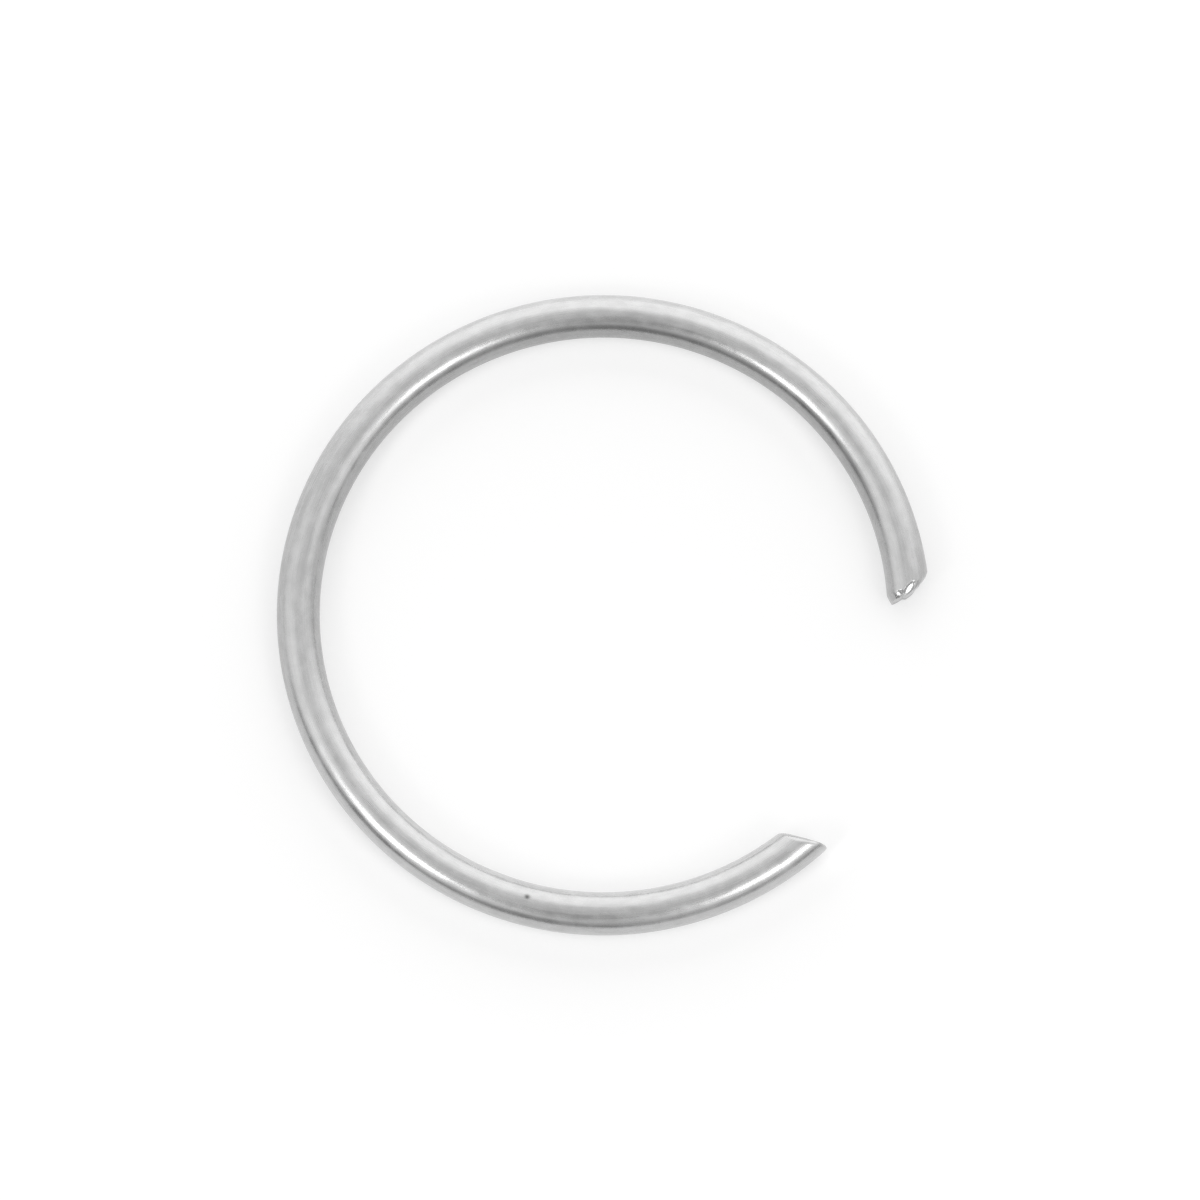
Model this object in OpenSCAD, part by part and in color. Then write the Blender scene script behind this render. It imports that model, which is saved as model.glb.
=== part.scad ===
// Retaining ring of round spring wire, open at one side, lying flat.
// It is squeezed together, let go inside a bore, and springs out into a groove there.
// Lengths are in millimetres and angles in degrees.
// The origin is the centre of the ring, halfway up the wire, with +Z along the ring's axis.
// +X points through the middle of the gap between the two ends.

/* [Ring] */
// Diameter of the wire
wire_d = 1; // [0.6:0.05:1.6]
// Outside diameter of the free ring, before it is squeezed into its groove
outside_d = 15.2; // [13:0.1:24]

/* [Ends] */
// Straight distance across the gap, between the middles of the two cut faces
gap_w = 6.4; // [5.6:0.1:9]
// Slant of each cut face away from square to the wire, the same shear stroke making both ends
cut_slant = 34; // [0:1:40]

/* [Finish] */
// Number of steps round a full circle
round_steps = 180; // [60:12:360]

/* [Hidden] */

// Radius of the circle that the middle of the wire follows
centre_r = (outside_d - wire_d) / 2;
// Angle from +X to the middle of each cut face
end_angle = asin(gap_w / 2 / centre_r);
// How far a cut line reaches inwards from the middle of the wire, past its inner side
cut_in = wire_d / cos(cut_slant);
// How far a cut line reaches outwards, clear of the whole ring
cut_out = outside_d;
// Height of the block that opens the gap, clear of the wire above and below
cut_h = 2 * wire_d;

// Point on a cut line, at a distance outwards from the middle of the wire.
// The line leaves the radius at that end by the slant, turned the same way at both ends.
function on_cut(angle, distance) =
    [centre_r * cos(angle) + distance * cos(angle + cut_slant),
     centre_r * sin(angle) + distance * sin(angle + cut_slant)];

// Wire bent into a full circle
module closed_ring() {
    rotate_extrude($fn = round_steps)
        translate([centre_r, 0])
            circle(d = wire_d, $fn = round_steps);
}

// Block between the two cut lines, wider outside the ring than inside it
module gap_block() {
    linear_extrude(height = cut_h, center = true)
        polygon([on_cut(end_angle, -cut_in), on_cut(end_angle, cut_out),
                 on_cut(-end_angle, cut_out), on_cut(-end_angle, -cut_in)]);
}

// Open ring with its inner side longer at the +Y end and its outer side longer at the -Y end
module retaining_ring() {
    color("silver")
        difference() {
            closed_ring();
            gap_block();
        }
}

retaining_ring();
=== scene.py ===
"""Looks of an open retaining ring of round spring wire, lying flat on a pale studio floor.

The ring is one length of drawn wire, bent round and sheared off at a slant at both ends.
Names that end in _mm are in millimetres and names that end in _deg are in degrees.
Every mesh and place is in metres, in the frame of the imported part: the origin is the centre
of the ring, halfway up the wire, +Z is the ring's axis and +X points through the gap.
"""

import logging
import math
from dataclasses import dataclass, field
from enum import Enum
from functools import reduce

import bpy
import numpy as np
from mathutils import Matrix, Vector


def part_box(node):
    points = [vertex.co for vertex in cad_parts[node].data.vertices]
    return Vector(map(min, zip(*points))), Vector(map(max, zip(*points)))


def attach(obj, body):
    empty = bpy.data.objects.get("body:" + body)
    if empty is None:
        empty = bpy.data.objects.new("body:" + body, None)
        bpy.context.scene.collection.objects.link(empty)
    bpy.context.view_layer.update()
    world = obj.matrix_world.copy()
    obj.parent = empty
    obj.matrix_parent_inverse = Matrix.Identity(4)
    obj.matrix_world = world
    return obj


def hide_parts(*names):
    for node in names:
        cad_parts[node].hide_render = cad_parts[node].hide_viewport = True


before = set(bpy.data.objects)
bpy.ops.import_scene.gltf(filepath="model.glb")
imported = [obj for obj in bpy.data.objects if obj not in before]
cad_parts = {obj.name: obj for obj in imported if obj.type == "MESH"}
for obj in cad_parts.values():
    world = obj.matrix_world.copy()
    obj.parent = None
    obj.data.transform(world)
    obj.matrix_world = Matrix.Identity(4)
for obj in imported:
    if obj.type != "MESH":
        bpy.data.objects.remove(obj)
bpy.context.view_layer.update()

LOG = logging.getLogger("retaining_ring")
MM = 0.001
NODE = "retaining_ring"
BODY = "root"


def smooth_step(x: np.ndarray) -> np.ndarray:
    """An S-shaped rise from 0 to 1, flat at both ends and beyond them.

    Args:
        x: where on the rise, with 0 at its start and 1 at its end.

    Returns:
        The height of the rise, 3 x squared minus 2 x cubed.
    """
    x = np.clip(x, 0.0, 1.0)
    return x * x * (3.0 - 2.0 * x)


def wrapped(angle: np.ndarray) -> np.ndarray:
    """An angle in radians brought into the half turn on each side of zero."""
    return (angle + np.pi) % (2.0 * np.pi) - np.pi


@dataclass(frozen=True)
class WirePlaces:
    """Places on the wire's surface, as two arrays of one shape. Lengths are in millimetres."""

    # Distance along the wire, and angle round it in radians from straight outwards
    along: np.ndarray
    around: np.ndarray
    # Radius of the wire and of the circle that its middle follows
    wire_r: float
    centre_r: float


class EndSide(Enum):
    """The two ends of the wire, and the way from the metal out into the gap along the wire."""

    PLUS_Y = -1.0
    MINUS_Y = 1.0


@dataclass(frozen=True)
class Profile:
    """A height that changes smoothly across the wire, from one given place to the next.

    Places are distances outwards from the middle of the wire and grow from one to the
    next. Places and heights are in millimetres.
    """

    places: tuple[float, ...]
    heights: tuple[float, ...]

    def at(self, outwards: np.ndarray) -> np.ndarray:
        """The height at any place, with an S-shaped change between each two given ones.

        Args:
            outwards: distance outwards from the middle of the wire, in millimetres.

        Returns:
            The height in millimetres.
        """
        total = np.full_like(outwards, self.heights[0])
        for number in range(1, len(self.places)):
            before, after = self.places[number - 1], self.places[number]
            rise = self.heights[number] - self.heights[number - 1]
            total = total + rise * smooth_step((outwards - before) / (after - before))
        return total


@dataclass(frozen=True)
class CutEnd:
    """One sheared end of the wire. Distances are in millimetres."""

    side: EndSide
    # How far the metal has rolled over at the face's rim, on top, below, outside and inside
    roll_top: Profile
    roll_below: float
    roll_outside: float
    roll_inside: float
    # How many times further the roll reaches along the wire than into it, on top and inside
    reach_top: float
    reach_inside: float
    # How flat the roll is: 1 is round, and more is nearer to a straight bevel
    bevel: float
    # How far the face stands proud of the plane cut, along the wire, on top and below
    proud_top: Profile
    proud_below: Profile
    # Height on the face where the lower profile starts to give way to the upper one, and
    # over how much height, as shares of the wire's radius
    blend_start: float = -0.8
    blend_height: float = 1.2

    def roll(self, around: np.ndarray, wire_r: float) -> np.ndarray:
        """How deep the rim has rolled over, round the wire.

        The four depths are blended by the squares of the cosine and the sine of the angle.

        Args:
            around: angle round the wire in radians, 0 outwards and a quarter turn on top.
            wire_r: the wire's radius.

        Returns:
            The depth in millimetres, for each angle.
        """
        across, up = np.cos(around), np.sin(around)
        sideways = np.where(across > 0.0, self.roll_outside, self.roll_inside)
        upwards = np.where(up > 0.0, self.roll_top.at(wire_r * across), self.roll_below)
        return sideways * across**2 + upwards * up**2

    def roll_length(self, around: np.ndarray, wire_r: float) -> np.ndarray:
        """How far the roll reaches along the wire, which can be more on top and inside.

        The depth of the roll is multiplied by 1, plus the square of the cosine inside and
        the square of the sine on top, each times how much further it reaches there.

        Args:
            around: angle round the wire in radians.
            wire_r: the wire's radius.

        Returns:
            The reach in millimetres, for each angle.
        """
        inwards, up = np.clip(-np.cos(around), 0.0, 1.0), np.clip(np.sin(around), 0.0, 1.0)
        further = (self.reach_inside - 1.0) * inwards**2 + (self.reach_top - 1.0) * up**2
        return self.roll(around, wire_r) * (1.0 + further)

    def relief(self, outwards: np.ndarray, up: np.ndarray, wire_r: float) -> np.ndarray:
        """How far the face stands proud of the plane cut, along the wire.

        The two profiles are blended by an S-shaped change up the face.

        Args:
            outwards: place across the wire, positive away from the ring's centre.
            up: place up the wire.
            wire_r: the wire's radius.

        Returns:
            The relief in millimetres, positive out into the gap.
        """
        share = smooth_step((up / wire_r - self.blend_start) / self.blend_height)
        return self.proud_below.at(outwards) * (1.0 - share) + self.proud_top.at(outwards) * share


@dataclass(frozen=True)
class DrawnLines:
    """Fine lines that the drawing die leaves along the wire, as shallow grooves and ridges."""

    count: int = 150
    # Depth of the deepest line, and the range from a groove to a ridge as a share of it
    depth_mm: float = 0.0011
    groove: float = -1.0
    ridge: float = 0.6
    # Range of their half widths round the wire, in millimetres
    narrow_mm: float = 0.022
    wide_mm: float = 0.075
    # Range of their lengths along the wire, in millimetres
    short_mm: float = 0.8
    long_mm: float = 14.0
    # How far a line wanders round the wire for each millimetre along it
    drift: float = 0.010
    seed: int = 11

    def heights(self, places: WirePlaces) -> np.ndarray:
        """Height of the lines over the whole wire.

        Each line is a bell curve round the wire, times a smooth rise and fall along it,
        and a narrow line is shallower. The lines are added up.

        Args:
            places: where on the wire.

        Returns:
            The height in millimetres, positive outwards.
        """
        along, wire_r = places.along, places.wire_r
        rng = np.random.default_rng(self.seed)
        first, last = float(along.min()), float(along.max())
        total = np.zeros_like(along)
        for _ in range(self.count):
            middle = rng.uniform(first, last)
            half_length = rng.uniform(self.short_mm, self.long_mm) / 2.0
            place = rng.uniform(-np.pi, np.pi)
            wander = rng.uniform(-self.drift, self.drift) / wire_r
            half_width = rng.uniform(self.narrow_mm, self.wide_mm) / wire_r
            share = rng.uniform(self.groove, self.ridge)
            depth = self.depth_mm * share * half_width * wire_r / self.wide_mm
            off = wrapped(places.around - place - wander * (along - middle))
            bell = np.exp(-((off / half_width) ** 2))
            window = smooth_step(2.0 * (1.0 - np.abs(along - middle) / half_length))
            total += depth * bell * window
        return total


@dataclass(frozen=True)
class Mark:
    """A small dent in the wire's surface, darkened: a dark pit, or a nick with painted shade beside a
    tip. Distances are in millimetres.
    """

    # Place round the ring from +X, and round the wire from straight outwards
    ring_deg: float
    around_deg: float
    radius: float
    depth: float
    # How much the finish darkens it, from 0 to 1
    darkness: float

    def nearness(self, places: WirePlaces) -> np.ndarray:
        """A bell curve over the wire that is 1 in the middle of the mark.

        Args:
            places: where on the wire.

        Returns:
            The nearness, from 0 to 1.
        """
        over = places.along - math.radians(self.ring_deg) * places.centre_r
        across = wrapped(places.around - math.radians(self.around_deg)) * places.wire_r
        return np.exp(-(np.hypot(over, across) / self.radius) ** 2)


@dataclass(frozen=True)
class PaintedReflectionBand:
    """A long band along the wire with a painted reflection in its finish, darker or paler than the rest.

    Its middle moves evenly round the wire from one place to another on its way along it.
    """

    # Places round the ring where it starts and ends, and round the wire there
    first_deg: float
    last_deg: float
    around_first_deg: float
    around_last_deg: float
    # Half its width round the wire, in millimetres
    half_width: float
    # How much the painted reflection darkens it, or lightens it where this is below zero
    darkness: float
    # Share of its length over which it fades in and out
    fade: float = 0.15

    def nearness(self, places: WirePlaces) -> np.ndarray:
        """A bell curve round the wire, times a smooth rise and fall along it.

        Args:
            places: where on the wire.

        Returns:
            The nearness, from 0 to 1.
        """
        length_deg = self.last_deg - self.first_deg
        share = (np.degrees(places.along / places.centre_r) - self.first_deg) / length_deg
        window = smooth_step(share / self.fade) * smooth_step((1.0 - share) / self.fade)
        middle_deg = self.around_first_deg + share * (self.around_last_deg - self.around_first_deg)
        across = wrapped(places.around - np.radians(middle_deg)) * places.wire_r
        return window * np.exp(-(across / self.half_width) ** 2)


@dataclass(frozen=True)
class PressedFacet:
    """A small flat that the shear blade pressed into the top of the wire, beside the first cut.

    Places are in millimetres: outwards from the middle of the wire, and along it towards
    the gap from the middle of the plane cut.
    """

    outwards: float
    gapwards: float
    # Way of its long side, from straight outwards towards the gap
    turn_deg: float
    half_length: float
    half_width: float
    # Height of its middle over the middle of the wire, and its fall for each millimetre
    # outwards and towards the gap
    height: float
    fall_outwards: float = 0.245
    fall_gapwards: float = 0.429
    # Share of its half sizes over which it meets the wire
    softness: float = 0.48

    def lowering(self, outwards: np.ndarray, gapwards: np.ndarray, height: np.ndarray) -> np.ndarray:
        """How far the wire's top is pressed down.

        The part of the wire over a tilted plane goes down to it, inside an oval with a
        soft border.

        Args:
            outwards: place across the wire.
            gapwards: place along the wire.
            height: height over the middle of the wire.

        Returns:
            The lowering in millimetres.
        """
        across, over = outwards - self.outwards, gapwards - self.gapwards
        turn = math.radians(self.turn_deg)
        length_share = (across * math.cos(turn) + over * math.sin(turn)) / self.half_length
        width_share = (over * math.cos(turn) - across * math.sin(turn)) / self.half_width
        share = smooth_step((1.0 - np.hypot(length_share, width_share)) / self.softness)
        plane = self.height - self.fall_outwards * across - self.fall_gapwards * over
        return share * np.clip(height - plane, 0.0, None)


@dataclass
class RetainingRing:
    """The ring's sizes, in millimetres, and the methods that make its mesh."""

    # Radius of the wire and of the circle that its middle follows
    wire_r: float
    centre_r: float
    # Straight distance across the gap, between the middles of the cut faces, and their slant
    gap_w: float = 6.4
    cut_slant_deg: float = 34.0
    # Steps of the grid: round the wire, along its wall, over each rim and over each face
    around_steps: int = 160
    wall_steps: int = 450
    rim_steps: int = 10
    face_steps: int = 26
    # Rows over which the drawn wall's finish gives way to the cut face's
    blend_rows: int = 4
    # How much closer the rows are near the ends and the marks, and over what distance
    row_crowding: float = 4.0
    crowding_mm: float = 0.45
    # Steps to a row at which that closeness is worked out
    fine_steps: int = 20
    lines: DrawnLines = field(default_factory=DrawnLines)
    # One dark pit on the near side, and near each tip a shallow nick with painted shade
    pits_and_painted_light: tuple[Mark, ...] = (
        Mark(ring_deg=277.8, around_deg=99.0, radius=0.060, depth=0.012, darkness=0.75),
        Mark(ring_deg=334.9, around_deg=44.0, radius=0.070, depth=0.004, darkness=0.45),
        Mark(ring_deg=24.9, around_deg=124.0, radius=0.055, depth=0.004, darkness=0.80),
    )
    # Painted reflections: darker on the inner side of the far part, and paler on the outer side of the
    # near part
    painted_reflection_bands: tuple[PaintedReflectionBand, ...] = (
        PaintedReflectionBand(first_deg=36.0, last_deg=158.0, around_first_deg=131.0, around_last_deg=135.0,
                  half_width=0.088, darkness=0.28),
        PaintedReflectionBand(first_deg=215.0, last_deg=345.0, around_first_deg=62.0, around_last_deg=59.0,
                  half_width=0.115, darkness=-0.165),
    )
    # The long flat across the wire's top, and the small one on its inner side
    facets: tuple[PressedFacet, ...] = (
        PressedFacet(outwards=0.012, gapwards=0.060, turn_deg=-48.4, half_length=0.260,
                     half_width=0.093, height=0.419),
        PressedFacet(outwards=-0.245, gapwards=0.165, turn_deg=4.4, half_length=0.112,
                     half_width=0.086, height=0.380, softness=0.40),
    )
    # The blade left the first end ragged, with a notch in its edge, and the last one clean
    start: CutEnd = field(default_factory=lambda: CutEnd(
        side=EndSide.PLUS_Y, roll_below=0.05, roll_outside=0.05, roll_inside=0.10,
        reach_top=2.4, reach_inside=3.0, bevel=1.85,
        roll_top=Profile(
            places=(-0.32, -0.10, 0.24, 0.34),
            heights=(0.030, 0.042, 0.045, 0.030),
        ),
        proud_top=Profile(
            places=(-0.50, -0.36, -0.28, -0.21, -0.15, -0.06, 0.10, 0.24, 0.40, 0.50),
            heights=(0.030, 0.045, 0.070, 0.112, 0.090, 0.182, 0.174, 0.140, 0.040, 0.000),
        ),
        proud_below=Profile(
            places=(-0.50, -0.14, -0.04, 0.08, 0.26, 0.45),
            heights=(0.035, 0.042, 0.100, 0.105, 0.045, 0.000),
        ),
    ))
    finish: CutEnd = field(default_factory=lambda: CutEnd(
        side=EndSide.MINUS_Y, roll_below=0.05, roll_outside=0.11, roll_inside=0.06,
        reach_top=1.2, reach_inside=1.0, bevel=1.0,
        roll_top=Profile(places=(-0.5, 0.5), heights=(0.15, 0.15)),
        proud_top=Profile(places=(-0.45, 0.0, 0.40), heights=(0.0, -0.020, -0.005)),
        proud_below=Profile(places=(-0.5, 0.5), heights=(0.0, 0.0)),
    ))

    @classmethod
    def from_frame(cls) -> "RetainingRing":
        """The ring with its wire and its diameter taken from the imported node's box.

        Returns:
            The ring.
        """
        low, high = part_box(NODE)
        wire_r = (high.z - low.z) / 2.0 / MM
        return cls(wire_r=round(wire_r, 2), centre_r=round(-low.x / MM - wire_r, 2))

    @property
    def end_angle(self) -> float:
        """Angle in radians from +X to the middle of each cut face."""
        return math.asin(self.gap_w / 2.0 / self.centre_r)

    def cut_offset(self, outwards: np.ndarray) -> np.ndarray:
        """How far round the ring the plane cut has moved at a place across the wire.

        The cut is a straight line that leaves the radius by the slant. Where it meets the
        circle of the given radius follows from the law of cosines, and the angle from there.

        Args:
            outwards: place across the wire in millimetres, positive away from the centre.

        Returns:
            The angle in radians, positive where the cut lies further round the ring.
        """
        slant = math.radians(self.cut_slant_deg)
        side = self.centre_r * math.sin(slant)
        reach = np.sqrt((self.centre_r + outwards) ** 2 - side**2) - self.centre_r * math.cos(slant)
        return np.arctan2(reach * math.sin(slant), self.centre_r + reach * math.cos(slant))

    def face_angle(self, end: CutEnd, from_middle: np.ndarray, around: np.ndarray) -> np.ndarray:
        """Angle round the ring of a cut face, at places given by distance and direction.

        Args:
            end: which cut end.
            from_middle: distance from the middle of the wire, in millimetres.
            around: direction from there, in radians.

        Returns:
            The angle in radians.
        """
        outwards, height = from_middle * np.cos(around), from_middle * np.sin(around)
        middle = self.end_angle if end.side is EndSide.PLUS_Y else 2.0 * np.pi - self.end_angle
        proud = end.side.value * end.relief(outwards, height, self.wire_r) / self.centre_r
        return middle + self.cut_offset(outwards) + proud

    def end_rows(self, end: CutEnd, around: np.ndarray) -> tuple[np.ndarray, np.ndarray]:
        """Rows of points over one end, from the wire's side over its rim to near its middle.

        Over the rim each row lies on a quarter of a rounded shape between a circle and a
        bevel, and over the face on a circle that shrinks evenly towards the middle.

        Args:
            end: which cut end.
            around: one angle round the wire for each column, in radians.

        Returns:
            The distance from the middle of the wire and the angle round the ring, with a
            row for each step.
        """
        roll = end.roll(around, self.wire_r)[None, :]
        turn = np.linspace(0.0, np.pi / 2.0, self.rim_steps + 1)[:, None]
        share = np.linspace(1.0, 0.0, self.face_steps + 1)[1:-1, None]
        rim_r = self.wire_r - roll * (1.0 - np.abs(np.cos(turn)) ** end.bevel)
        face_r = share * (self.wire_r - roll)
        from_middle = np.vstack([rim_r, face_r])
        length = end.roll_length(around, self.wire_r)[None, :]
        sunk = np.vstack([length * (1.0 - np.sin(turn) ** end.bevel), np.zeros_like(face_r)])
        angle = self.face_angle(end, from_middle, around[None, :])
        return from_middle, angle - end.side.value * sunk / self.centre_r

    def row_shares(self) -> np.ndarray:
        """Places of the rows along the wall, as shares of its length.

        The rows are close together where there is more to show. The wanted closeness is
        added up along the wall, and the rows stand where the sum passes equal steps.

        Returns:
            The shares, from 0 to 1.
        """
        fine = np.linspace(0.0, 1.0, self.fine_steps * self.wall_steps + 1)
        first, last = self.end_angle, 2.0 * math.pi - self.end_angle
        along = (first + fine * (last - first)) * self.centre_r
        closeness = np.ones_like(fine)
        for middle in (first, last, *(math.radians(mark.ring_deg) for mark in self.pits_and_painted_light)):
            away = (along - middle * self.centre_r) / self.crowding_mm
            closeness += self.row_crowding * np.exp(-(away**2))
        total = np.concatenate([[0.0], np.cumsum((closeness[1:] + closeness[:-1]) / 2.0)])
        return np.interp(np.linspace(0.0, total[-1], self.wall_steps + 1), total, fine)

    def grid(self) -> tuple[np.ndarray, np.ndarray, np.ndarray]:
        """The whole skin as one grid: rows along the wire, columns round it.

        The rows run from the middle of one cut face over its rim, along the wall and over
        the other rim to the middle of the other face. On the wall they are spread between
        the two rims, so each row keeps the slant of the cuts.

        Returns:
            The distance from the middle of the wire in millimetres, the angle round the
            ring and the angle round the wire, for each point of the grid.
        """
        around = np.linspace(0.0, 2.0 * np.pi, self.around_steps, endpoint=False)
        start_r, start_angle = self.end_rows(self.start, around)
        finish_r, finish_angle = self.end_rows(self.finish, around)
        share = self.row_shares()[1:-1, None]
        wall_angle = start_angle[0] + share * (finish_angle[0] - start_angle[0])
        wall_r = np.full_like(wall_angle, self.wire_r)
        from_middle = np.vstack([start_r[::-1], wall_r, finish_r])
        angle = np.vstack([start_angle[::-1], wall_angle, finish_angle])
        return from_middle, angle, np.broadcast_to(around, angle.shape)

    def surface_height(self, places: WirePlaces) -> np.ndarray:
        """Drawn lines and marks, as a height over the true round wire.

        Args:
            places: where on the wire.

        Returns:
            The height in millimetres, positive outwards.
        """
        total = self.lines.heights(places)
        for mark in self.pits_and_painted_light:
            total = total - mark.depth * mark.nearness(places)
        return total

    def pit_darkness_and_painted_light(self, places: WirePlaces) -> np.ndarray:
        """How much the pit, the painted shade at the tips and the painted reflection bands darken the
        finish.

        Args:
            places: where on the wire.

        Returns:
            The darkness, 1 for black and below zero for paler.
        """
        total = np.zeros_like(places.along)
        for mark in (*self.pits_and_painted_light, *self.painted_reflection_bands):
            total = total + mark.darkness * mark.nearness(places)
        return total

    def place(self, from_middle: np.ndarray, angle: np.ndarray, around: np.ndarray) -> np.ndarray:
        """Points in metres from the distance and the two angles, as on a doughnut.

        The distance from the ring's axis is the centre line's radius plus the outward part
        of the distance from the wire's middle, and the height is its upward part.

        Args:
            from_middle: distance from the middle of the wire in millimetres.
            angle: angle round the ring in radians.
            around: angle round the wire in radians.

        Returns:
            The points, with X, Y and Z in the last axis.
        """
        radial = self.centre_r + from_middle * np.cos(around)
        points = [radial * np.cos(angle), radial * np.sin(angle), from_middle * np.sin(around)]
        return np.stack(points, axis=-1) * MM

    def build(self) -> bpy.types.Object:
        """Makes the ring's mesh, with the attributes that its finish reads.

        The wall is raised by its lines and marks, and each facet then presses points down.
        wire_place is where each point lay on the straight wire, in millimetres: along it,
        outwards and up. cut_face is 1 on the sheared faces and 0 on the drawn wire.
        The last attribute is how much the pit, the painted shade near the tips and the painted reflection
        bands darken it.

        Returns:
            The new object, at the origin.
        """
        from_middle, angle, around = self.grid()
        along = angle * self.centre_r
        places = WirePlaces(along, around, self.wire_r, self.centre_r)
        cap_rows = self.rim_steps + self.face_steps
        row = np.arange(len(angle))
        inwards = np.maximum(cap_rows - 1 - row, row - (len(angle) - cap_rows))
        face_rows = inwards - self.rim_steps + self.blend_rows - 1
        on_face = smooth_step(face_rows / self.blend_rows)[:, None]
        raised = from_middle + self.surface_height(places) * (1.0 - on_face)
        points = self.place(raised, angle, around)
        outwards, height = from_middle * np.cos(around), from_middle * np.sin(around)
        gapwards = (self.end_angle - angle) * self.centre_r
        for facet in self.facets:
            points[..., 2] -= facet.lowering(outwards, gapwards, height) * MM
        straight = np.stack([along, outwards, height], axis=-1)
        cut_face = np.broadcast_to(on_face, angle.shape)
        # Darkness of the pit, with painted shade near the tips and painted reflections in two bands, none
        # on the faces
        darkness = self.pit_darkness_and_painted_light(places) * (1.0 - on_face)

        poles = [self.pole(end) for end in (self.start, self.finish)]
        pole_straight = [[np.mean(along[r]), 0.0, 0.0] for r in (0, -1)]
        vertices = np.vstack([points.reshape(-1, 3), *poles])
        obj = mesh_object("retaining_ring_wire", vertices, closed_faces(*angle.shape))
        add_vector(obj, "wire_place", np.vstack([straight.reshape(-1, 3), pole_straight]))
        add_number(obj, "cut_face", np.append(cut_face.reshape(-1), [1.0, 1.0]))
        add_number(obj, "pit_darkness_and_painted_light", np.append(darkness.reshape(-1), [0.0, 0.0]))
        return obj

    def pole(self, end: CutEnd) -> np.ndarray:
        """The point in the middle of a cut face, in metres."""
        nothing = np.zeros((1, 1))
        return self.place(nothing, self.face_angle(end, nothing, nothing), nothing).reshape(1, 3)


def grid_quads(rows: int, columns: int) -> np.ndarray:
    """Four-sided faces of a grid that closes round its columns.

    The points are numbered row by row. Each face joins a point, the one in the next row,
    the one after that and the one after the first.

    Args:
        rows: how many rows of points there are.
        columns: how many points there are in a row.

    Returns:
        The numbers of each face's points, one row each.
    """
    row = np.arange(rows - 1)[:, None] * columns
    here = np.arange(columns)[None, :]
    following = (here + 1) % columns
    corners = [row + here, row + columns + here, row + columns + following, row + following]
    return np.stack(corners, axis=-1).reshape(-1, 4)


def closed_faces(rows: int, columns: int) -> list[list[int]]:
    """Faces of such a grid with a fan of triangles at each end, to one point in the middle.

    Args:
        rows: how many rows of points there are.
        columns: how many points there are in a row.

    Returns:
        The faces, which all point outwards. The two middle points are numbered last.
    """
    first_pole, last_pole = rows * columns, rows * columns + 1
    here = np.arange(columns)
    following = (here + 1) % columns
    last = (rows - 1) * columns
    first_fan = np.stack([here, following, np.full_like(here, first_pole)], axis=-1)
    last_fan = np.stack([last + following, last + here, np.full_like(here, last_pole)], axis=-1)
    return [*grid_quads(rows, columns).tolist(), *first_fan.tolist(), *last_fan.tolist()]


def mesh_object(name: str, vertices: np.ndarray, faces: list[list[int]]) -> bpy.types.Object:
    """A smooth-shaded mesh object at the origin.

    Args:
        name: the object's name.
        vertices: the points in metres, one row each.
        faces: the numbers of each face's points.

    Returns:
        The object, linked to the scene.
    """
    mesh = bpy.data.meshes.new(name)
    mesh.from_pydata(vertices.tolist(), [], faces)
    mesh.shade_smooth()
    mesh.update()
    obj = bpy.data.objects.new(name, mesh)
    bpy.context.scene.collection.objects.link(obj)
    return obj


def add_vector(obj: bpy.types.Object, name: str, values: np.ndarray) -> None:
    """Stores a vector for each point of a mesh under a name."""
    attribute = obj.data.attributes.new(name, "FLOAT_VECTOR", "POINT")
    attribute.data.foreach_set("vector", values.astype(np.float32).reshape(-1))


def add_number(obj: bpy.types.Object, name: str, values: np.ndarray) -> None:
    """Stores a number for each point of a mesh under a name."""
    attribute = obj.data.attributes.new(name, "FLOAT", "POINT")
    attribute.data.foreach_set("value", values.astype(np.float32).reshape(-1))


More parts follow.
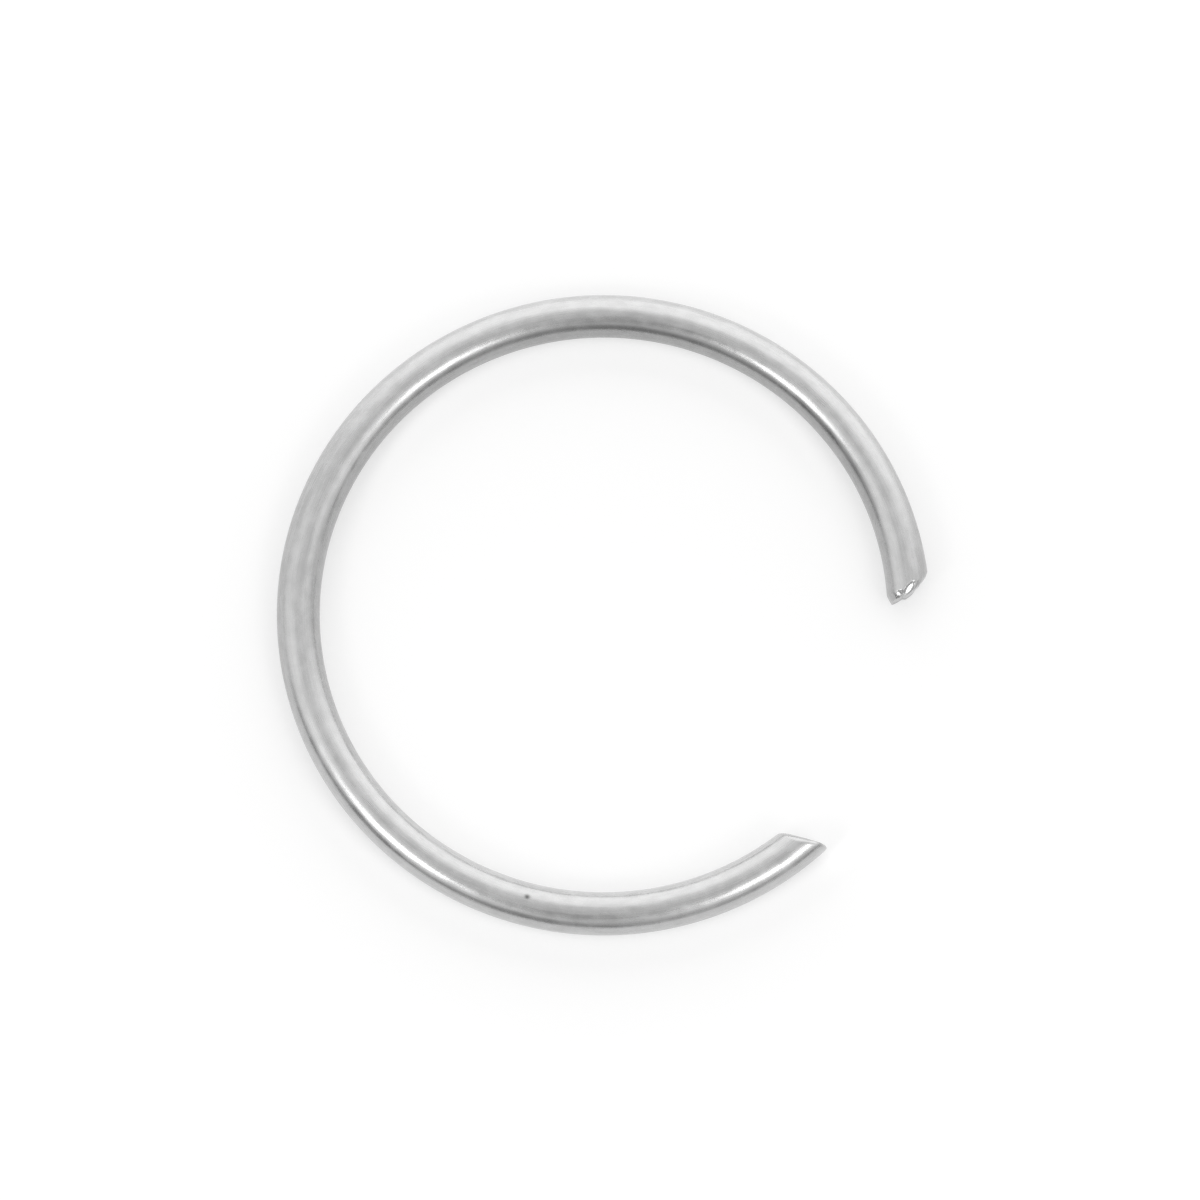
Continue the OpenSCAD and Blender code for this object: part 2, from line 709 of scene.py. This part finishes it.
class NodeSketch:
    """A short way to add nodes to a material, a world or a node group and to join them."""

    def __init__(self, tree: bpy.types.NodeTree) -> None:
        """Starts on an existing node tree."""
        self.tree = tree

    def add(self, kind: str, settings: dict | None = None, **inputs: object) -> bpy.types.Node:
        """Adds a node.

        Args:
            kind: the node's Blender type.
            settings: properties of the node itself, by name.
            **inputs: a value or a socket for each input, by its name with underscores
                for spaces, or by in_ and its number.

        Returns:
            The node.
        """
        node = self.tree.nodes.new(kind)
        for name, value in (settings or {}).items():
            setattr(node, name, value)
        for name, value in inputs.items():
            key = int(name[3:]) if name.startswith("in_") else name.replace("_", " ")
            if isinstance(value, bpy.types.NodeSocket):
                self.tree.links.new(value, node.inputs[key])
            else:
                node.inputs[key].default_value = value
        return node

    def math(self, operation: str, *values: object) -> bpy.types.NodeSocket:
        """A Math node's result, from its numbers or sockets in order."""
        inputs = {f"in_{i}": value for i, value in enumerate(values)}
        return self.add("ShaderNodeMath", {"operation": operation}, **inputs).outputs[0]

    def chain(self, operation: str, *values: object) -> bpy.types.NodeSocket:
        """A Math node for each number or socket after the first, each fed by the one before."""
        return reduce(lambda total, value: self.math(operation, total, value), values)

    def times(self, *values: object) -> bpy.types.NodeSocket:
        """The product of numbers and sockets."""
        return self.chain("MULTIPLY", *values)

    def plus(self, *values: object) -> bpy.types.NodeSocket:
        """The sum of numbers and sockets."""
        return self.chain("ADD", *values)

    def attribute(self, name: str, output: str) -> bpy.types.NodeSocket:
        """One output of an Attribute node that reads what the mesh stores under a name."""
        return self.add("ShaderNodeAttribute", {"attribute_name": name}).outputs[output]

    def vector(self, operation: str, *values: object) -> bpy.types.NodeSocket:
        """A Vector Math node's result.

        Args:
            operation: the node's operation.
            *values: its vectors or sockets, in order.

        Returns:
            The number from a dot product or a length, and otherwise the vector.
        """
        inputs = {f"in_{i}": value for i, value in enumerate(values)}
        node = self.add("ShaderNodeVectorMath", {"operation": operation}, **inputs)
        return node.outputs["Value" if operation in ("DOT_PRODUCT", "LENGTH") else "Vector"]

    def ramp(
        self, value: object, low: float, high: float, to_low: float, to_high: float
    ) -> bpy.types.NodeSocket:
        """A smooth change from one number to another while a value goes from low to high."""
        settings = {"interpolation_type": "SMOOTHSTEP"}
        return self.add("ShaderNodeMapRange", settings, Value=value, From_Min=low, From_Max=high,
                        To_Min=to_low, To_Max=to_high).outputs["Result"]

    def noise(self, place: object, scale: float, detail: float, roughness: float) -> bpy.types.NodeSocket:
        """A Noise Texture's value, between 0 and 1."""
        return self.add("ShaderNodeTexNoise", Vector=place, Scale=scale, Detail=detail,
                        Roughness=roughness).outputs["Fac"]


def new_material(name: str) -> tuple[bpy.types.Material, NodeSketch]:
    """An empty material.

    Args:
        name: the material's name.

    Returns:
        The material, and a sketch that adds nodes to it.
    """
    material = bpy.data.materials.new(name)
    material.use_nodes = True
    material.node_tree.nodes.clear()
    return material, NodeSketch(material.node_tree)


def new_group(
    name: str, inputs: dict[str, tuple[str, float]], outputs: list[str]
) -> bpy.types.ShaderNodeTree:
    """An empty shader node group with named sockets.

    Args:
        name: the group's name.
        inputs: each input's socket type and default number, by name.
        outputs: names of the outputs, which are all numbers.

    Returns:
        The group, with its input and output nodes in place.
    """
    group = bpy.data.node_groups.new(name, "ShaderNodeTree")
    for label, (kind, default) in inputs.items():
        socket = group.interface.new_socket(label, in_out="INPUT", socket_type=kind)
        if kind == "NodeSocketFloat":
            socket.default_value = default
    for label in outputs:
        group.interface.new_socket(label, in_out="OUTPUT", socket_type="NodeSocketFloat")
    group.nodes.new("NodeGroupInput")
    group.nodes.new("NodeGroupOutput")
    return group


def streak_group() -> bpy.types.ShaderNodeTree:
    """Streaks and blotches stretched along the wire, as used for colour, gloss and bump.

    The place on the straight wire is squeezed along its length, so that a plain noise comes
    out as streaks, and a little less for the blotches.

    Returns:
        The group, with a Streaks output and a Blotches output, both around zero.
    """
    floats = "NodeSocketFloat"
    group = new_group(
        "wire_streaks",
        {"Place": ("NodeSocketVector", 0.0), "Line Scale": (floats, 20.0), "Stretch": (floats, 0.03),
         "Blotch Scale": (floats, 4.6), "Blotch Stretch": (floats, 0.60)},
        ["Streaks", "Blotches"],
    )
    sketch = NodeSketch(group)
    given = group.nodes["Group Input"].outputs
    result = group.nodes["Group Output"].inputs
    for label, stretch, scale, detail, roughness in (
        ("Streaks", "Stretch", "Line Scale", 3.0, 0.6),
        ("Blotches", "Blotch Stretch", "Blotch Scale", 2.0, 0.5),
    ):
        squeeze = sketch.add("ShaderNodeCombineXYZ", X=given[stretch], Y=1.0, Z=1.0).outputs[0]
        squeezed = sketch.vector("MULTIPLY", given["Place"], squeeze)
        noise = sketch.noise(squeezed, given[scale], detail, roughness)
        group.links.new(sketch.math("SUBTRACT", noise, 0.5), result[label])
    return group


@dataclass(frozen=True)
class SpringSteelFinish:
    """Bright drawn spring steel, satin along the wire and rougher on its sheared ends."""

    colour: tuple[float, float, float] = (0.60, 0.60, 0.60)
    roughness: float = 0.27
    # How much the streaks and the blotches lighten or darken the steel
    streak_tint: float = 0.17
    blotch_tint: float = 0.32
    # How much they change the gloss
    streak_gloss: float = 0.16
    blotch_gloss: float = 0.14
    # Height of the finest drawn lines and of the blotches, in metres
    line_height: float = 0.0000016
    blotch_height: float = 0.0000030
    # Sheared faces: their tint, gloss and grain
    cut_tint: float = 1.05
    cut_roughness: float = 0.34
    grain_height: float = 0.0000050
    grain_scale: float = 28.0
    # The blade's scores down the upper part: their height in metres, how close they are,
    # and how much they are squeezed along their length
    score_height: float = 0.0000060
    score_scale: float = 34.0
    score_stretch: float = 0.08
    # The torn part below: its tint, how much it adds to the roughness, and its grain and
    # that of the scored part, as shares of the height
    torn_tint: float = 0.86
    torn_roughness: float = 0.14
    torn_grain: float = 1.6
    scored_grain: float = 0.3
    # Heights on the face, in millimetres, up to which it is all torn and from which it is
    # all scored, and how far the border wanders with the scores
    torn_top_mm: float = -0.18
    scored_foot_mm: float = 0.06
    border_wander: float = 0.14

    def material(self) -> bpy.types.Material:
        """Builds the material from the streak group and the mesh's own attributes.

        Returns:
            The material.
        """
        material, sketch = new_material("drawn_spring_steel")
        place = sketch.attribute("wire_place", "Vector")
        cut = sketch.attribute("cut_face", "Fac")
        # Darkness of the pit, with painted shade near the tips and painted reflections in two bands
        pits_and_painted_light = sketch.attribute("pit_darkness_and_painted_light", "Fac")
        streaks = sketch.add("ShaderNodeGroup", {"node_tree": streak_group()}, Place=place)
        lines, blotches = streaks.outputs["Streaks"], streaks.outputs["Blotches"]
        grain = sketch.noise(place, self.grain_scale, detail=4.0, roughness=0.6)
        grain = sketch.math("SUBTRACT", grain, 0.5)
        down_the_face = sketch.vector("MULTIPLY", place, (0.0, 1.0, self.score_stretch))
        scores = sketch.noise(down_the_face, self.score_scale, detail=3.0, roughness=0.6)
        scores = sketch.math("SUBTRACT", scores, 0.5)
        up = sketch.add("ShaderNodeSeparateXYZ", Vector=place).outputs["Z"]
        border = sketch.plus(up, sketch.times(scores, self.border_wander))
        torn = sketch.ramp(border, self.torn_top_mm, self.scored_foot_mm, 1.0, 0.0)
        torn = sketch.times(torn, cut)

        tint = sketch.times(
            sketch.plus(1.0, self.mixed(sketch, lines, self.streak_tint, blotches, self.blotch_tint)),
            sketch.ramp(cut, 0.0, 1.0, 1.0, self.cut_tint),
            sketch.ramp(torn, 0.0, 1.0, 1.0, self.torn_tint),
            sketch.math("SUBTRACT", 1.0, pits_and_painted_light),
        )
        scaled = sketch.add("ShaderNodeVectorMath", {"operation": "SCALE"}, in_0=self.colour, Scale=tint)
        rough = sketch.plus(
            sketch.ramp(cut, 0.0, 1.0, self.roughness, self.cut_roughness),
            sketch.times(torn, self.torn_roughness),
            self.mixed(sketch, lines, self.streak_gloss, blotches, self.blotch_gloss),
        )
        drawn_bump = sketch.times(
            self.mixed(sketch, lines, self.line_height, blotches, self.blotch_height),
            sketch.math("SUBTRACT", 1.0, cut),
        )
        grain_share = sketch.ramp(torn, 0.0, 1.0, self.scored_grain, self.torn_grain)
        grain_bump = sketch.times(grain, grain_share, self.grain_height)
        score_bump = sketch.times(scores, self.score_height)
        height = sketch.plus(drawn_bump, sketch.times(sketch.plus(score_bump, grain_bump), cut))
        bump = sketch.add("ShaderNodeBump", Height=height, Distance=1.0, Strength=1.0)

        shader = sketch.add(
            "ShaderNodeBsdfPrincipled", Base_Color=scaled.outputs["Vector"], Roughness=rough,
            Metallic=1.0, Normal=bump.outputs["Normal"],
        )
        sketch.add("ShaderNodeOutputMaterial", Surface=shader.outputs["BSDF"])
        return material

    @staticmethod
    def mixed(
        sketch: NodeSketch, lines: bpy.types.NodeSocket, line_share: float,
        blotches: bpy.types.NodeSocket, blotch_share: float,
    ) -> bpy.types.NodeSocket:
        """The streaks and the blotches added up, each with its own share."""
        return sketch.plus(sketch.times(lines, line_share), sketch.times(blotches, blotch_share))


@dataclass(frozen=True)
class Glow:
    """A soft round patch of the studio's surroundings, brighter or darker than the rest."""

    azimuth_deg: float
    elevation_deg: float
    # Angles from the patch's middle at which it is full and at which it has ended
    full_deg: float
    end_deg: float
    # What it adds to the brightness of the surroundings
    strength: float


@dataclass(frozen=True)
class Lamp:
    """A small round studio lamp, aimed at the ring."""

    azimuth_deg: float
    elevation_deg: float
    # Angle from its middle to its edge, seen from the ring
    half_angle_deg: float
    radiance: float


@dataclass(frozen=True)
class PaperFloor:
    """The round white paper that the ring lies on. Names that end in _m are in metres.

    Its lift to the backdrop's white is painted light and painted shade, which change only with
    the place on the paper. That is told by its distance from the ring's circle and by a side:
    1 where the paper faces the bright wall, beyond the circle on the far side and inside it on
    the near side, and -1 where the wire stands between them.
    """

    radius_m: float = 0.45
    # Rings of points, points in a ring, and the innermost ring as a share of the radius
    rings: int = 12
    ring_points: int = 96
    innermost: float = 0.02
    colour: float = 0.53
    roughness: float = 0.38
    # Half the width over which the inside of the ring's circle turns into the outside
    turn_m: float = 0.0015
    # Painted lift for the eye, brighter away from the ring: its value up to the first distance from the
    # centre, and from the second one on
    near_m: float = 0.009
    far_m: float = 0.017
    near_lift: float = 0.48
    far_lift: float = 0.54
    # Painted light that fills the wire's shadow for the eye, the sides between which it fades,
    # and the distances from the circle between which it fades
    shadow_fill: float = 0.085
    fill_sides: tuple[float, float] = (-0.55, -0.30)
    fill_m: tuple[float, float] = (0.0005, 0.0012)
    # Lift for what the wire mirrors, its painted sheen on the side that faces the wall, and
    # the sides between which that grows
    mirrored_lift: float = 0.24
    mirrored_sheen: float = 0.22
    sheen_sides: tuple[float, float] = (0.1, 0.9)
    # Painted light in what the wire mirrors right beside it, and the distances from the circle between
    # which it fades
    mirrored_fill: float = 0.13
    mirrored_m: tuple[float, float] = (0.0005, 0.0016)
    # On the other side in what the wire mirrors, painted shade inside the circle and painted light
    # outside it, and where that fades
    mirrored_inside: float = -0.09
    mirrored_outside: float = 0.13
    unlit_sides: tuple[float, float] = (-0.50, -0.05)

    def material(self, circle_m: float, far_side: Vector) -> bpy.types.Material:
        """Matt white paper, lifted to the backdrop's white for the eye and for reflections, with painted
        light and shade by place.

        The side is the far share of the way from the centre, which is -1 at the near end
        and 1 at the far end, with its sign turned inside the circle. The paper keeps the
        ring's shadow.

        Args:
            circle_m: radius of the ring's circle.
            far_side: the level way from the centre to the far side.

        Returns:
            The material.
        """
        material, sketch = new_material("pale_floor")
        place = sketch.add("ShaderNodeTexCoord").outputs["Object"]
        away = sketch.vector("LENGTH", sketch.vector("MULTIPLY", place, (1.0, 1.0, 0.0)))
        beside = sketch.math("ABSOLUTE", sketch.math("SUBTRACT", away, circle_m))
        outside = sketch.ramp(away, circle_m - self.turn_m, circle_m + self.turn_m, -1.0, 1.0)
        far = sketch.vector("DOT_PRODUCT", place, tuple(far_side))
        side = sketch.times(outside, sketch.math("DIVIDE", far, away))

        # Painted light for the eye: brighter away from the ring, and filling the shadow beside the wire
        seen = sketch.plus(
            sketch.ramp(away, self.near_m, self.far_m, self.near_lift, self.far_lift),
            sketch.times(
                sketch.ramp(side, *self.fill_sides, self.shadow_fill, 0.0),
                sketch.ramp(beside, *self.fill_m, 1.0, 0.0),
            ),
        )
        # Painted sheen, light and shade in what the wire mirrors
        full_sheen = self.mirrored_lift + self.mirrored_sheen
        mirrored = sketch.plus(
            sketch.ramp(side, *self.sheen_sides, self.mirrored_lift, full_sheen),
            sketch.ramp(beside, *self.mirrored_m, self.mirrored_fill, 0.0),
            sketch.times(
                sketch.ramp(side, *self.unlit_sides, 1.0, 0.0),
                sketch.ramp(outside, -1.0, 1.0, self.mirrored_inside, self.mirrored_outside),
            ),
        )
        path = sketch.add("ShaderNodeLightPath").outputs
        mirror = sketch.math("MAXIMUM", path["Is Glossy Ray"], path["Is Transmission Ray"])
        lift = sketch.plus(sketch.times(path["Is Camera Ray"], seen), sketch.times(mirror, mirrored))
        paper = sketch.add("ShaderNodeBsdfPrincipled", Base_Color=(self.colour,) * 3 + (1.0,),
                           Roughness=self.roughness)
        glow = sketch.add("ShaderNodeEmission", Strength=lift)
        both = sketch.add("ShaderNodeAddShader", in_0=paper.outputs[0], in_1=glow.outputs[0])
        sketch.add("ShaderNodeOutputMaterial", Surface=both.outputs[0])
        return material

    def add(self, height_m: float, circle_m: float, far_side: Vector) -> bpy.types.Object:
        """Adds the paper at a height, as rings of points round the middle.

        Each point is a radius times the cosine and the sine of its angle.

        Args:
            height_m: the paper's height.
            circle_m: radius of the ring's circle.
            far_side: the level way from the centre to the far side.

        Returns:
            The floor.
        """
        radii = self.radius_m * np.linspace(self.innermost, 1.0, self.rings)[:, None]
        angle = np.linspace(0.0, 2.0 * np.pi, self.ring_points, endpoint=False)[None, :]
        level = np.full((self.rings, self.ring_points), height_m)
        points = np.stack([radii * np.cos(angle), radii * np.sin(angle), level], axis=-1)
        middle = list(range(self.ring_points))
        faces = [*grid_quads(self.rings, self.ring_points).tolist(), middle]
        floor = mesh_object("floor", points.reshape(-1, 3), faces)
        floor.data.materials.append(self.material(circle_m, far_side))
        return floor


@dataclass(frozen=True)
class Studio:
    """The photograph's viewpoint, with its light and floor.

    Azimuths are counter-clockwise from the picture's right.
    """

    view_azimuth_deg: float = 22.36
    view_elevation_deg: float = 78.0
    distance_m: float = 0.200
    picture_px: float = 1200.0
    px_per_mm: float = 43.0
    # Where the ring's centre falls in the picture
    centre_px: tuple[float, float] = (603.6, 612.9)
    sensor_mm: float = 36.0
    # Nearest and furthest that the camera sees, as shares of its distance
    clip_shares: tuple[float, float] = (0.01, 20.0)
    plain_glow: float = 0.66
    glows: tuple[Glow, ...] = (
        # Bright wall on the far side, and the pale ceiling above it
        Glow(azimuth_deg=79.0, elevation_deg=11.0, full_deg=35.0, end_deg=64.0, strength=0.57),
        Glow(azimuth_deg=102.0, elevation_deg=37.0, full_deg=60.0, end_deg=85.0, strength=0.13),
        # Soft light round the lamps and between them
        Glow(azimuth_deg=193.0, elevation_deg=43.0, full_deg=20.0, end_deg=40.0, strength=0.22),
        Glow(azimuth_deg=233.0, elevation_deg=30.0, full_deg=5.0, end_deg=24.0, strength=0.31),
        Glow(azimuth_deg=323.0, elevation_deg=42.0, full_deg=15.0, end_deg=38.0, strength=0.34),
        Glow(azimuth_deg=268.0, elevation_deg=36.0, full_deg=6.0, end_deg=22.0, strength=0.10),
        # Darker room on the camera's side, and the camera above
        Glow(azimuth_deg=263.0, elevation_deg=12.0, full_deg=45.0, end_deg=70.0, strength=-0.22),
        Glow(azimuth_deg=275.0, elevation_deg=70.0, full_deg=8.0, end_deg=36.0, strength=-0.14),
        Glow(azimuth_deg=203.0, elevation_deg=4.0, full_deg=8.0, end_deg=28.0, strength=-0.36),
        Glow(azimuth_deg=252.0, elevation_deg=4.0, full_deg=12.0, end_deg=34.0, strength=-0.20),
        Glow(azimuth_deg=330.0, elevation_deg=4.0, full_deg=8.0, end_deg=28.0, strength=-0.29),
    )
    lamps: tuple[Lamp, ...] = (
        Lamp(azimuth_deg=218.0, elevation_deg=44.0, half_angle_deg=8.0, radiance=4.3),
        Lamp(azimuth_deg=314.0, elevation_deg=47.0, half_angle_deg=8.0, radiance=3.6),
    )
    lamp_distance_m: float = 0.30
    floor: PaperFloor = PaperFloor()

    def direction(self, azimuth_deg: float, elevation_deg: float) -> Vector:
        """The way towards a place in the studio, in the part's frame.

        Args:
            azimuth_deg: the place's azimuth.
            elevation_deg: its elevation.

        Returns:
            The way, of length 1.
        """
        azimuth = math.radians(azimuth_deg + self.view_azimuth_deg)
        elevation = math.radians(elevation_deg)
        level = math.cos(elevation)
        return Vector((level * math.cos(azimuth), level * math.sin(azimuth), math.sin(elevation)))

    def add_camera(self) -> bpy.types.Object:
        """Puts the camera where the photograph was taken from.

        It is aimed so that the ring's centre falls where it does in the photograph.

        Returns:
            The camera.
        """
        azimuth, elevation = math.radians(self.view_azimuth_deg), math.radians(self.view_elevation_deg)
        level = math.cos(elevation)
        back = Vector((math.sin(azimuth) * level, -math.cos(azimuth) * level, math.sin(elevation)))
        right = Vector((math.cos(azimuth), math.sin(azimuth), 0.0))
        up = back.cross(right)
        half = self.picture_px / 2.0
        aim_px = right * (half - self.centre_px[0]) + up * (self.centre_px[1] - half)
        aim = aim_px * MM / self.px_per_mm
        data = bpy.data.cameras.new("camera")
        data.sensor_width = self.sensor_mm
        data.lens = self.sensor_mm * self.distance_m / (self.picture_px / self.px_per_mm * MM)
        data.clip_start, data.clip_end = (self.distance_m * share for share in self.clip_shares)
        camera = bpy.data.objects.new("camera", data)
        turn = Matrix((right, up, back)).transposed().to_4x4()
        camera.matrix_world = Matrix.Translation(aim + back * self.distance_m) @ turn
        bpy.context.scene.collection.objects.link(camera)
        bpy.context.scene.camera = camera
        return camera

    def add_lamps(self) -> None:
        """Adds the lamps, each a disk that faces the ring.

        A lamp's power is its radiance times pi times its disk's area.
        """
        for number, lamp in enumerate(self.lamps):
            data = bpy.data.lights.new(f"lamp_{number}", "AREA")
            data.shape = "DISK"
            radius = self.lamp_distance_m * math.tan(math.radians(lamp.half_angle_deg))
            data.size = 2.0 * radius
            data.energy = lamp.radiance * math.pi * math.pi * radius**2
            obj = bpy.data.objects.new(f"lamp_{number}", data)
            way = self.direction(lamp.azimuth_deg, lamp.elevation_deg)
            obj.location = way * self.lamp_distance_m
            obj.rotation_euler = way.to_track_quat("Z", "Y").to_euler()
            bpy.context.scene.collection.objects.link(obj)

    def add_world(self) -> None:
        """Adds the studio's surroundings.

        Their brightness is a plain value, plus each glow times a smooth fall from the
        middle of its patch to its edge. What the camera sees of them is plain white.
        """
        world = bpy.data.worlds.new("studio")
        bpy.context.scene.world = world
        world.use_nodes = True
        tree = world.node_tree
        tree.nodes.clear()
        sketch = NodeSketch(tree)
        way = sketch.add("ShaderNodeTexCoord").outputs["Generated"]
        total: object = self.plain_glow
        for glow in self.glows:
            middle = self.direction(glow.azimuth_deg, glow.elevation_deg)
            nearness = sketch.vector("DOT_PRODUCT", way, tuple(middle))
            full, end = (math.cos(math.radians(a)) for a in (glow.full_deg, glow.end_deg))
            total = sketch.plus(total, sketch.ramp(nearness, end, full, 0.0, glow.strength))
        seen = sketch.add("ShaderNodeLightPath").outputs["Is Camera Ray"]
        brightness = sketch.add("ShaderNodeMix", {"data_type": "FLOAT"}, Factor=seen, A=total, B=1.0)
        light = sketch.add("ShaderNodeBackground", Strength=brightness.outputs["Result"],
                           Color=(1.0, 1.0, 1.0, 1.0))
        sketch.add("ShaderNodeOutputWorld", Surface=light.outputs[0])

    def add_floor(self, ring: RetainingRing) -> bpy.types.Object:
        """Adds the paper under the ring, and returns it. Its far side is straight up the picture."""
        return self.floor.add(-ring.wire_r * MM, ring.centre_r * MM, self.direction(90.0, 0.0))


def main() -> None:
    """Builds the ring, dresses it, and sets up the studio."""
    logging.basicConfig(level=logging.INFO, format="%(message)s")
    bpy.context.scene.view_settings.view_transform = "Standard"
    ring = RetainingRing.from_frame()
    piece = ring.build()
    piece.data.materials.append(SpringSteelFinish().material())
    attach(piece, BODY)
    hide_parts(NODE)
    LOG.info("ring: %d points, %d faces", len(piece.data.vertices), len(piece.data.polygons))

    studio = Studio()
    studio.add_camera()
    studio.add_world()
    studio.add_lamps()
    floor = studio.add_floor(ring)
    LOG.info("floor at %.2f mm", floor.data.vertices[0].co.z / MM)


if __name__ == "__main__":
    main()
